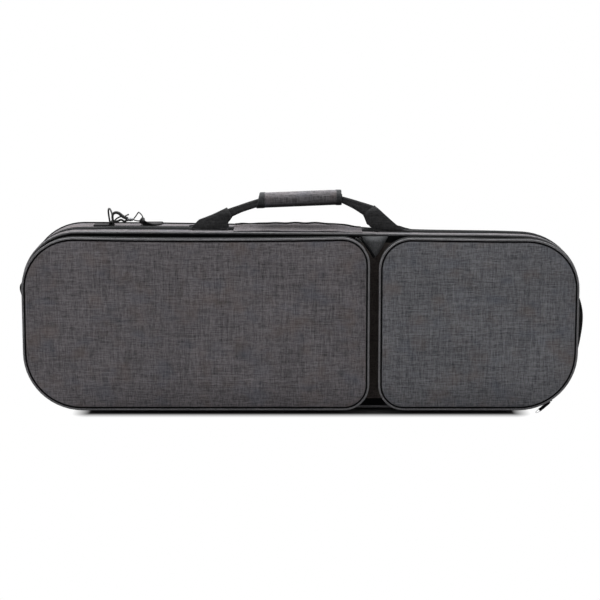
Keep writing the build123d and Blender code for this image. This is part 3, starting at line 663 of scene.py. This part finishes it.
def leg_strip(name, side, way):
    """Webbing folded in half, running from under the leg's panel into the grip."""
    rise = side * 59.0 * math.tan(TILT)
    near = GRIP_MIDDLE - HANDLE_BASE
    start = {-1: ((112, 23.4), (100.5, 15.5)), 1: ((108, 29.4), (91, 18.0))}[side]
    stop = {-1: ((56, near + 3.8 + rise), (56, near - 7.0 + rise)), 1: ((56, near + 2.8 + rise), (56, near - 5.6 + rise))}[side]
    rows = []
    for i in range(13):
        t = i / 12
        row_front, row_rear = [], []
        arch = 0.6 * math.sin(math.pi * t)
        for j in range(9):
            u = j / 8
            x = (start[0][0] + (stop[0][0] - start[0][0]) * t) * (1 - u) + (
                start[1][0] + (stop[1][0] - start[1][0]) * t) * u
            h = (start[0][1] + (stop[0][1] - start[0][1]) * t) * (1 - u) + (
                start[1][1] + (stop[1][1] - start[1][1]) * t) * u + arch
            face = lean_y(way, h) + way * 1.5
            edge = 0.3 + 0.7 * min(1.0, 3.5 * min(u, 1 - u)) ** 0.5
            groove = 0.55 * math.exp(-((u - 0.36) / 0.07) ** 2)
            z = HANDLE_BASE + h - sink(way, h) * (1 - t)
            row_front.append((side * x, face - 1.45 * edge + groove, z))
            row_rear.append((side * x, face + 1.45 * edge - groove, z))
        rows.append(row_front + list(reversed(row_rear)))
    piece = build(name, rows, 0, [WEBBING], sharp=60)
    cap(piece)
    return piece


def handles():
    for label, way, body in (("front", -1, "front_handle"), ("rear", 1, "rear_handle")):
        first = True
        for side in (-1, 1):
            piece = leg(f"{label}_leg_{'left' if side < 0 else 'right'}", side, way)
            dress(piece, body, "webbing", *([label + "_handle_webbing"] if first else []))
            first = False
            run = leg_strip(f"{label}_run_{'left' if side < 0 else 'right'}", side, way)
            dress(run, body, "webbing")
            path = [settle(side * x, way * 15.5, 263.2 - ease((x - 146) / 16)) for x in (104, 118, 132, 146, 155, 162)]
            roll = tube(f"{label}_foot_{'left' if side < 0 else 'right'}", path, [1.7, 1.9, 1.9, 1.8, 1.3, 0.6], WEBBING)
            dress(roll, body, "webbing")
            tail = patch(f"{label}_tail_{'left' if side < 0 else 'right'}", side * 132, way * 14, 47, 14)
            owner = "lid" if way < 0 else "case_body"
            node = label + "_handle_patches"
            dress(tail, owner, "webbing", *([node] if side < 0 else []))
        inside = [(x, way * 3.0, GRIP_MIDDLE + x * math.tan(TILT)) for x in (-60, -30, 0, 30, 60)]
        strip = ribbon(label + "_grip_strip", inside, (0, 0, 1), 10.0, 2.6, WEBBING)
        dress(strip, body, "webbing")


def patch(name, x, y, length, width):
    """Webbing tail sewn flat on the case, its middle a little proud of its edges."""
    rows = []
    for i in range(13):
        px = x - length / 2 + length * i / 12
        row = []
        for j in range(7):
            py = y - width / 2 + width * j / 6
            edge = 1 - max(abs(2 * i / 12 - 1), abs(2 * j / 6 - 1)) ** 6
            row.append(settle(px, py, 261.35 + 1.0 * edge))
        rows.append(row)
    piece = build(name, rows, 0, [WEBBING], closed=False)
    thick = piece.modifiers.new("thick", "SOLIDIFY")
    thick.thickness = 0.0008
    thick.offset = -1
    bake(piece)
    return piece


def bake(piece):
    shape = bpy.data.meshes.new_from_object(piece.evaluated_get(bpy.context.evaluated_depsgraph_get()))
    piece.modifiers.clear()
    piece.data = shape
    shape.shade_smooth()
    shape.set_sharp_from_angle(angle=math.radians(50))


def tube(name, path, radius, material, sides=10):
    """Round bar along model points, with closed ends."""
    rows = []
    path = [Vector(p) for p in path]
    for i, point in enumerate(path):
        run = (path[min(i + 1, len(path) - 1)] - path[max(i - 1, 0)]).normalized()
        out = run.cross(Vector((0.1, 0.2, 1))).normalized()
        up = run.cross(out)
        size = radius[i] if isinstance(radius, list) else radius
        rows.append([
            tuple(point + out * size * math.cos(2 * math.pi * k / sides) + up * size * math.sin(2 * math.pi * k / sides))
            for k in range(sides)
        ])
    piece = build(name, rows, 0, [material], sharp=60)
    cap(piece)
    return piece


def flare(x, y, z):
    """The grip tapers: its left end slants out at the foot and its right end is a little slimmer."""
    low = GRIP_MIDDLE + x * math.tan(TILT) - 10
    share = min(1.0, max(0.0, (z - low) / 20))
    slant = 5.0 * ease((-x - 44) / 15) * (1 - share)
    return (x - slant, y, z + 0.4 + 0.006 * x - 0.9 * share * ease((x - 40) / 20) + 0.8 * (1 - share))


def grip():
    for node, name, body in (("grip_wrap", "grip_front", "front_handle"), ("grip_closure", "grip_rear", "rear_handle")):
        piece = soften(node, name, SHADED_GRIP_CLOTH, 0.9, 5, body, "shell_fabric", flare)
        piece.data.materials.append(SHADED_GRIP_BINDING)
        for polygon in piece.data.polygons:
            x = polygon.center.x / MM - SHIFT_X
            if abs(x) > 59 - 7.6:
                polygon.material_index = 1


def saddle():
    """Cloth flap over the zip between the legs, its rear edge bound in black and a little wavy."""
    rows = []
    count_x, count_y = 46, 16
    for i in range(count_x + 1):
        x = -96 + 184 * i / count_x
        row = []
        for j in range(count_y + 1):
            t = j / count_y
            end = 41.0 + 1.0 * math.sin(x * 0.055) - 0.8 * math.sin(x * 0.021 + 1)
            y = -33.5 + (end + 33.5) * t
            base = settle(x, y, 261)[2]
            lift = 2.5 + 1.4 * math.sin(math.pi * min(1, t * 1.05)) + 0.7 * noise.noise(Vector((x * 0.03, y * 0.05, 4)))
            lift += (1.6 * noise.noise(Vector((x * 0.045, 0, 1.5))) + 0.6) * ease((t - 0.7) / 0.3)
            lift += 2.4 * ease((x + 100) / 80) * ease((t - 0.15) / 0.85)
            lift *= 1 - 0.85 * ease((x - 50) / 40)
            side_drop = ease((-x - 82) / 14) * 1.3
            row.append((x, y, base + max(lift - side_drop, 1.5)))
        rows.append(row)
    piece = build("saddle_cloth", rows, 0, [HEATHER, SEAM], closed=False)
    thick = piece.modifiers.new("thick", "SOLIDIFY")
    thick.thickness = 0.0014
    thick.offset = -1
    bake(piece)
    dress(piece, "saddle", "shell_fabric", "saddle_flap")
    edge = [Vector(row[-1]) for row in rows]
    bead = tube("saddle_binding", [tuple(p + Vector((0, 0.4, 0.5))) for p in edge], 1.9, SEAM)
    dress(bead, "saddle", "shell_fabric")


def small_soft():
    for node, material, voxel, passes, body, slot, put in (
        ("ring_tabs", WEBBING, 0.7, 3, "case_body", "webbing", tab_sink),
        ("spine_leaf_back", WEBBING, 0.8, 2, "case_body", "webbing", None),
        ("spine_leaf_lid", WEBBING, 0.8, 2, "lid", "webbing", None),
        ("neck_band", WEBBING, 0.8, 3, "case_body", "lining", None),
        ("bow_rests", PLUSH, 1.0, 5, "lid", "lining", None),
        ("box_lid", PLUSH, 1.0, 2, "accessory_lid", "lining", None),
        ("instrument_bed", PLUSH, 2.6, 7, "case_body", "lining", bed_sink),
    ):
        piece = soften(node, node + "_cloth", material, voxel, passes, body, slot, put)


def curve(points, steps=5, closed=False):
    """Points of a smooth line through the given ones."""
    points = [Vector(p) for p in points]
    count = len(points)
    out = []
    for i in range(count if closed else count - 1):
        before = points[i - 1] if closed or i else points[0] * 2 - points[1]
        here, there = points[i], points[(i + 1) % count]
        after = points[(i + 2) % count] if closed or i + 2 < count else there * 2 - here
        for k in range(steps):
            t = k / steps
            out.append(0.5 * (2 * here + (there - before) * t + (2 * before - 5 * here + 4 * there - after) * t ** 2
                              + (3 * here - before - 3 * there + after) * t ** 3))
    if not closed:
        out.append(points[-1])
    return out


def hoop(name, points, radius, material, sides=8, steps=5):
    """Closed wire through the given points."""
    path = curve(points, steps, closed=True)
    count = len(path)
    middle = sum(path, Vector()) / count
    normal = Vector()
    for i in range(count):
        normal += (path[i] - middle).cross(path[(i + 1) % count] - middle)
    normal.normalize()
    rows = []
    for i, point in enumerate(path):
        run = (path[(i + 1) % count] - path[i - 1]).normalized()
        out = run.cross(normal).normalized()
        up = run.cross(out)
        rows.append([
            tuple(point + out * radius * math.cos(2 * math.pi * k / sides) + up * radius * math.sin(2 * math.pi * k / sides))
            for k in range(sides)
        ])
    return build(name, rows, 0, [material], ends_closed=True, sharp=80)


def tab_sink(x, y, z):
    """The right ring's tab follows the settled rear edge, and keeps its foot at the ring."""
    return (x, y, z + (settle(x, y, z)[2] - z) * ease((z - 236) / 20)) if x > 0 else (x, y, z)


def snap_hook(side, place, loop_points):
    """Cast snap hook with its gate, swivel barrel and strap loop; place turns (along, across, deep) to the model."""
    put = [place(*p) for p in ((1.6, -1.0, 0), (1.2, 5.0, 0), (2.8, 8.8, 0), (6.6, 10.3, 0), (11.2, 8.8, 0),
                               (14.8, 5.6, 0), (19.0, 3.0, 0), (23.4, 1.2, 0))]
    jaw = tube(side + "_hook_jaw", curve(put, 4), [1.8 + 0.7 * ease(i / 22) for i in range(29)], BLACK_METAL)
    dress(jaw, "case_body", "black_metal", *(["snap_hooks", "strap_loops"] if side == "left" else []))
    put = [place(*p) for p in ((23.0, -0.6, 0), (18.5, -2.6, 0), (13.8, -0.4, 0), (9.0, -2.2, 0), (4.0, -3.2, 0),
                               (1.8, -1.6, 0))]
    dress(tube(side + "_hook_back", curve(put, 4), 1.6, BLACK_METAL), "case_body", "black_metal")
    put = [place(*p) for p in ((4.2, -1.6, 0), (7.2, 1.2, 0), (10.2, 3.1, 0), (14.4, 4.6, 0))]
    dress(tube(side + "_hook_gate", curve(put, 4), 1.1, BLACK_METAL), "case_body", "black_metal")
    put = [place(x, 0, 0) for x in (21.6, 22.2, 23.6, 25.0, 26.6, 28.2, 29.6, 30.6, 31.4)]
    barrel = tube(side + "_swivel", put, [1.2, 2.5, 2.8, 2.2, 2.6, 2.6, 2.0, 2.2, 1.0], DARK_NICKEL, sides=14)
    dress(barrel, "case_body", "black_metal")
    dress(hoop(side + "_strap_loop", [place(*p) for p in loop_points], 0.95, BLACK_METAL), "case_body", "black_metal")
    put = [place(*p) for p in ((20.0, 5.3, 0), (21.4, 6.0, 0), (22.8, 6.6, 0), (24.4, 7.2, 0), (25.2, 7.6, 0))]
    knob = tube(side + "_thumb_lever", put, [1.0, 0.9, 0.9, 1.3, 0.9], BLACK_METAL)
    dress(knob, side + "_lever", "black_metal", side + "_hook_lever")


def strap_ring_left():
    """Half-round wire ring, turned a little on its tab and leaning outwards."""
    bar = Vector((-276.0, 34.0, 265.0))
    points = []
    for y, z in ((-13, -1), (-14, 3), (-14, 10), (-12.4, 15.5), (-7.5, 19.6), (0, 20.8), (7.5, 19.6), (12.4, 15.5),
                 (14, 10), (14, 3), (13, -1), (6, -1.2), (-6, -1.2)):
        points.append(bar + Vector((-y * math.tan(math.radians(17)) - 0.14 * z, y, z)))
    dress(hoop("left_ring_wire", points, 1.3, BLACK_METAL, steps=3), "left_strap_ring", "black_metal", "left_ring")


def run_of(points):
    """Length of a ribbon's line in metres."""
    return round(sum((b - a).length for a, b in zip(points, points[1:])) * MM, 3)


def strap():
    """Shoulder strap: round the left loop, over the rear edge, along the back and up to the right loop."""
    crown = 80.2
    path, sides = [], []
    for turn, h in ((12, 9.4), (26, 5.6), (40, 3.2), (56, 2.2), (73, 2.0), (90, 2.0)):
        angle = math.radians(turn)
        x, y = -234 + 15 * math.sin(angle), 48.5 - 15 * math.cos(angle)
        path.append((x, y, settle(x, y, 261)[2] + h))
        sides.append((-math.sin(angle), math.cos(angle), 0))
    path += [(-218.6, 55, settle(-218, 55, 261)[2] + 2.2), (-218.2, 62, settle(-218, 62, 261)[2] + 2.4),
             (-217.8, 70.5, 259.4), (-217.4, 76.0, 255.8), (-217, 79.4, 249), (-216, crown, 236),
             (-214, crown + 0.6, 200), (-212, crown + 0.9, 160), (-211.6, crown + 0.7, 120), (-212, crown + 0.4, 92),
             (-212, crown, 76)]
    sides += [(-1, 0, 0)] * (len(path) - len(sides))
    widths = [26, 26, 27, 28, 29] + [30] * (len(path) - 5)
    across = [tuple(v) for v in curve(sides, 3)]
    wide = [v.x for v in curve([(w, 0, 0) for w in widths], 3)]
    down = ribbon("strap_down", curve(path, 3), across, wide, 2.0, WEBBING)
    dress(down, "case_body", "webbing", "shoulder_strap")
    run_of(curve(path, 3))
    roll = tube("strap_roll_left", [(-231.6, y, 268.6) for y in (20, 21, 27, 34, 41, 47, 48)],
                [2.2, 3.2, 3.4, 3.4, 3.4, 3.2, 2.2], WEBBING, sides=14)
    dress(roll, "case_body", "webbing")
    along = [(x, crown + 1.6 + 0.8 * math.sin(x * 0.021), 75 + 2.2 * math.sin((x + 227) * 0.0061 * 2)) for x in
             (-227, -190, -140, -80, -20, 40, 100, 160, 220, 262, 291)]
    low = ribbon("strap_along", curve(along, 3), (0, 0, 1), 30.0, 2.0, WEBBING)
    dress(low, "case_body", "webbing")
    run_of(curve(along, 3))
    up = [(276, crown + 0.2, 61), (276, crown + 0.5, 90), (276, crown + 1.0, 130), (276, crown + 1.0, 158)]
    rise = ribbon("strap_up", curve(up, 3), (1, 0, 0), 30.0, 2.0, WEBBING)
    dress(rise, "case_body", "webbing")
    run_of(curve(up, 3))
    roll = tube("strap_roll_right", [(x, crown + 1.8, 162) for x in (261.5, 262.5, 268, 276, 284, 289.5, 290.5)],
                [2.2, 3.2, 3.4, 3.4, 3.4, 3.2, 2.2], WEBBING, sides=14)
    dress(roll, "case_body", "webbing")


def strap_hardware():
    strap_ring_left()
    left = (lambda along, across, deep: (-276 + along, 34 + deep, 270 + across))
    snap_hook("left", left, ((31.2, -1.2, 9), (34.0, 3.2, 13), (37.4, 8.2, 15.5), (39.4, 8.8, 12), (45.0, 6.8, -7),
                             (45.9, 4.6, -11), (43.0, 0.6, -13.5), (39.6, -0.8, -10)))
    right = (lambda along, across, deep: (276 - deep, 82.4 + across * 0.8, 208.6 - along))
    snap_hook("right", right, ((31.2, 0, -16), (31.2, 0, 0), (31.2, 0, 16), (34, 0, 18), (44, 0, 18), (46.6, 0, 16),
                               (46.6, 0, 0), (46.6, 0, -16), (44, 0, -18), (34, 0, -18)))
    strap()


def end_handle():
    """Bowed webbing loop on the right end, its two ends sewn to the body's wall."""
    path = [(396.9, 38.5, 178.0), (400.4, 38.5, 171.0), (405.4, 38.5, 160.0), (410.0, 38.5, 147.0), (412.6, 38.5, 132.0),
            (412.4, 38.5, 116.0), (410.4, 38.5, 100.0), (407.6, 38.5, 84.0), (404.2, 38.5, 72.0), (398.0, 38.5, 65.6),
            (389.6, 38.5, 64.6)]
    dress(ribbon("end_handle", curve(path, 4), (0, 1, 0), 38.0, 2.6, WEBBING), "case_body", "webbing", "grab_handle")


def right_pull():
    """Corded pull of the right pocket's zip, hanging from its slider, with a bright wire loop at its end."""
    path = [(358.4, -52.2, 17.6), (355.4, -52.4, 14.8), (351.6, -52.6, 11.6), (347.6, -52.8, 8.2), (343.2, -53.0, 4.6)]
    pull = tube("right_pull_cord", curve(path, 3), [1.6, 2.0, 2.3] + [2.4] * 10, SEAM, sides=12)
    dress(pull, "right_zip_pull", "black_metal", "right_pocket_pull")
    ring = [(344.8, -53, 7.2), (341.8, -53, 5.6), (338.8, -53, 2.6), (338.0, -53, 1.2), (339.4, -53, 0.8),
            (342.6, -53, 2.0), (345.2, -53, 4.4), (345.6, -53, 6.2)]
    dress(hoop("right_pull_wire", ring, 0.45, BRIGHT_METAL), "right_zip_pull", "bright_metal", "right_pull_loop")


def main_pull():
    """Bowed pull of the main zip, standing off the left end of the case."""
    path = [(-402.9, 0, 184.4), (-403.6, 0, 182.8), (-404.8, 0, 180.2), (-406.3, 0, 176.6), (-406.3, 0, 171.6),
            (-405.0, 0, 166.6), (-404.0, 0, 163.0)]
    pull = tube("main_pull_tab", curve(path, 3), [0.9] * 7 + [1.3] * 12, BLACK_METAL, sides=12)
    dress(pull, "main_zip_pull", "black_metal", "main_pull")


def zip_pull_cord():
    """Corded pull of the left pocket's zip, hanging across the gap between the pockets."""
    path = [(83.8, -52.2, 253.8), (88.2, -53.6, 250.0), (94.4, -54.2, 242.0), (100.0, -54.3, 234.0), (104.0, -54.0, 227.4),
            (104.6, -54.0, 226.2)]
    pull = tube("left_pull_cord", curve(path, 3), [1.0 + 0.9 * ease(i / 6) - 1.0 * ease((i - 13) / 3) for i in range(16)],
                SEAM, sides=12)
    dress(pull, "left_zip_pull", "black_metal", "left_pocket_pull")


def gap_cloth():
    """Smooth cloth wedge on the lid between the two pockets' upper corners, its cloth painted lighter than the lid's
    black cloth as light from above.
    """
    rows = []
    for i in range(21):
        t = i / 20
        z = 256.4 - 32 * t
        half = 19.5 * (1 - t) ** 0.85 + 0.6
        bulge = 5.4 * math.sin(math.pi / 2 * min(1.0, t / 0.3)) * (1 - 0.6 * max(0.0, t - 0.3))
        rows.append([
            (106.0 + half * (j / 5 - 1), -36.2 - bulge * math.cos(math.pi / 2 * (j / 5 - 1)) ** 0.5, z)
            for j in range(11)
        ])
    piece = build("gap_wedge", rows, [1] + [0] * 19, [LIT_WEDGE_CLOTH, SEAM], closed=False)
    dress(piece, "lid", "shell_fabric")


def hard_finish():
    finish = {
        "black_metal": BLACK_METAL, "bright_metal": BRIGHT_METAL, "rubber": RUBBER, "plastic": PLASTIC,
        "webbing": WEBBING, "zip_tape": TAPE, "lining": PLUSH, "shell_fabric": HEATHER, "piping_fabric": LIT_HEATHER_CORD,
    }
    chosen = {
        "back_feet": RUBBER, "lid_feet": RUBBER, "spine_cord": RUBBER, "right_pull_loop": BRIGHT_METAL,
        "bow_spinner_low": PLASTIC, "bow_spinner_high": PLASTIC,
    }
    for name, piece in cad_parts.items():
        if piece.hide_render:
            continue
        material = chosen.get(name, BLACK_METAL)
        if not piece.data.materials:
            piece.data.materials.append(material)
        for index in range(len(piece.data.materials)):
            piece.data.materials[index] = material


# Stage


def stage():
    size = 6.0
    mesh = bpy.data.meshes.new("floor")
    mesh.from_pydata([(-size, -size, 0), (size, -size, 0), (size, size, 0), (-size, size, 0)], [], [(0, 1, 2, 3)])
    floor = bpy.data.objects.new("floor", mesh)
    bpy.context.scene.collection.objects.link(floor)
    s = Shader("floor_paper")
    s.surface.inputs["Roughness"].default_value = 0.9
    glow = s.put("ShaderNodeEmission")
    glow.inputs["Strength"].default_value = 1.0
    path = s.put("ShaderNodeLightPath")
    seen = s.maths("MAXIMUM", path.outputs["Is Camera Ray"], path.outputs["Is Glossy Ray"])
    seen = s.maths("MAXIMUM", seen, path.outputs["Is Transmission Ray"])
    spot, _ = s.place()
    parts = s.put("ShaderNodeSeparateXYZ")
    s.wire(spot, parts.inputs[0])
    over = []
    for index, half in enumerate((0.304, 0.066)):
        side = s.maths("SUBTRACT", s.maths("ABSOLUTE", parts.outputs[index]), half)
        over.append(s.maths("POWER", s.maths("MAXIMUM", side, 0.0), 2.0))
    away = s.maths("SQRT", s.maths("ADD", over[0], over[1]))
    # Painted contact shadow: the floor's own colour is near black under the case's footprint and fades to pale grey 6
    # cm out.
    s.wire(s.mix(s.span(away, 0.0, 0.06), (0.05, 0.05, 0.05, 1.0), (0.55, 0.55, 0.55, 1.0)), s.surface.inputs["Base Color"])
    far = s.span(away, 0.0, 0.026, 0.0, 1.0)
    blend = s.put("ShaderNodeMixShader")
    s.wire(s.maths("MULTIPLY", seen, far), blend.inputs[0])
    s.wire(s.surface.outputs[0], blend.inputs[1])
    s.wire(glow.outputs[0], blend.inputs[2])
    out = next(n for n in s.tree.nodes if n.type == "OUTPUT_MATERIAL")
    s.wire(blend.outputs[0], out.inputs["Surface"])
    mesh.materials.append(s.material)

    world = bpy.data.worlds.new("studio")
    bpy.context.scene.world = world
    world.use_nodes = True
    tree = world.node_tree
    ground = tree.nodes["Background"]
    ground.inputs["Color"].default_value = (1, 1, 1, 1)
    ground.inputs["Strength"].default_value = 0.3
    white = tree.nodes.new("ShaderNodeBackground")
    white.inputs["Color"].default_value = (1, 1, 1, 1)
    white.inputs["Strength"].default_value = 1.0
    path = tree.nodes.new("ShaderNodeLightPath")
    seen = tree.nodes.new("ShaderNodeMath")
    seen.operation = "MAXIMUM"
    tree.links.new(path.outputs["Is Camera Ray"], seen.inputs[0])
    tree.links.new(path.outputs["Is Glossy Ray"], seen.inputs[1])
    both = tree.nodes.new("ShaderNodeMixShader")
    tree.links.new(seen.outputs[0], both.inputs[0])
    tree.links.new(ground.outputs[0], both.inputs[1])
    tree.links.new(white.outputs[0], both.inputs[2])
    tree.links.new(both.outputs[0], tree.nodes["World Output"].inputs["Surface"])

    lamp("overhead", (-0.1, 0.3, 1.7), (0, 0.02, 0.1), 2.2, 1.4, 72)
    lamp("front_left", (-1.5, -2.2, 1.5), (0, 0, 0.14), 1.4, 1.2, 6.5)
    lamp("front_right", (1.7, -2.0, 1.2), (0, 0, 0.12), 1.2, 1.2, 5.5)


def lamp(name, place, target, width, height, power):
    data = bpy.data.lights.new(name, "AREA")
    data.shape = "RECTANGLE"
    data.size, data.size_y = width, height
    data.energy = power
    piece = bpy.data.objects.new(name, data)
    bpy.context.scene.collection.objects.link(piece)
    piece.location = place
    aim = Vector(target) - Vector(place)
    piece.rotation_euler = aim.to_track_quat("-Z", "Y").to_euler()


ELEVATION = 9.4
DISTANCE = 2.6


def camera():
    data = bpy.data.cameras.new("camera")
    piece = bpy.data.objects.new("camera", data)
    bpy.context.scene.collection.objects.link(piece)
    bpy.context.scene.camera = piece
    angle = math.radians(ELEVATION)
    target = Vector(at((-0.85, FLAP_FRONT, 167.4)))
    piece.location = target + DISTANCE * Vector((0, -math.cos(angle), math.sin(angle)))
    piece.rotation_euler = (math.pi / 2 - angle, 0, 0)
    data.sensor_width = 36.0
    data.lens = 36.0 * DISTANCE / (600 / 0.706 * MM)
    data.clip_end = 50


camera()
stage()
shells()
main_zip()
pocket("left", LEFT, LEFT_RADII)
pocket("right", RIGHT, RIGHT_RADII)
handles()
grip()
saddle()
small_soft()
strap_hardware()
end_handle()
right_pull()
main_pull()
zip_pull_cord()
gap_cloth()
hard_finish()
bpy.context.scene.view_settings.view_transform = "Standard"
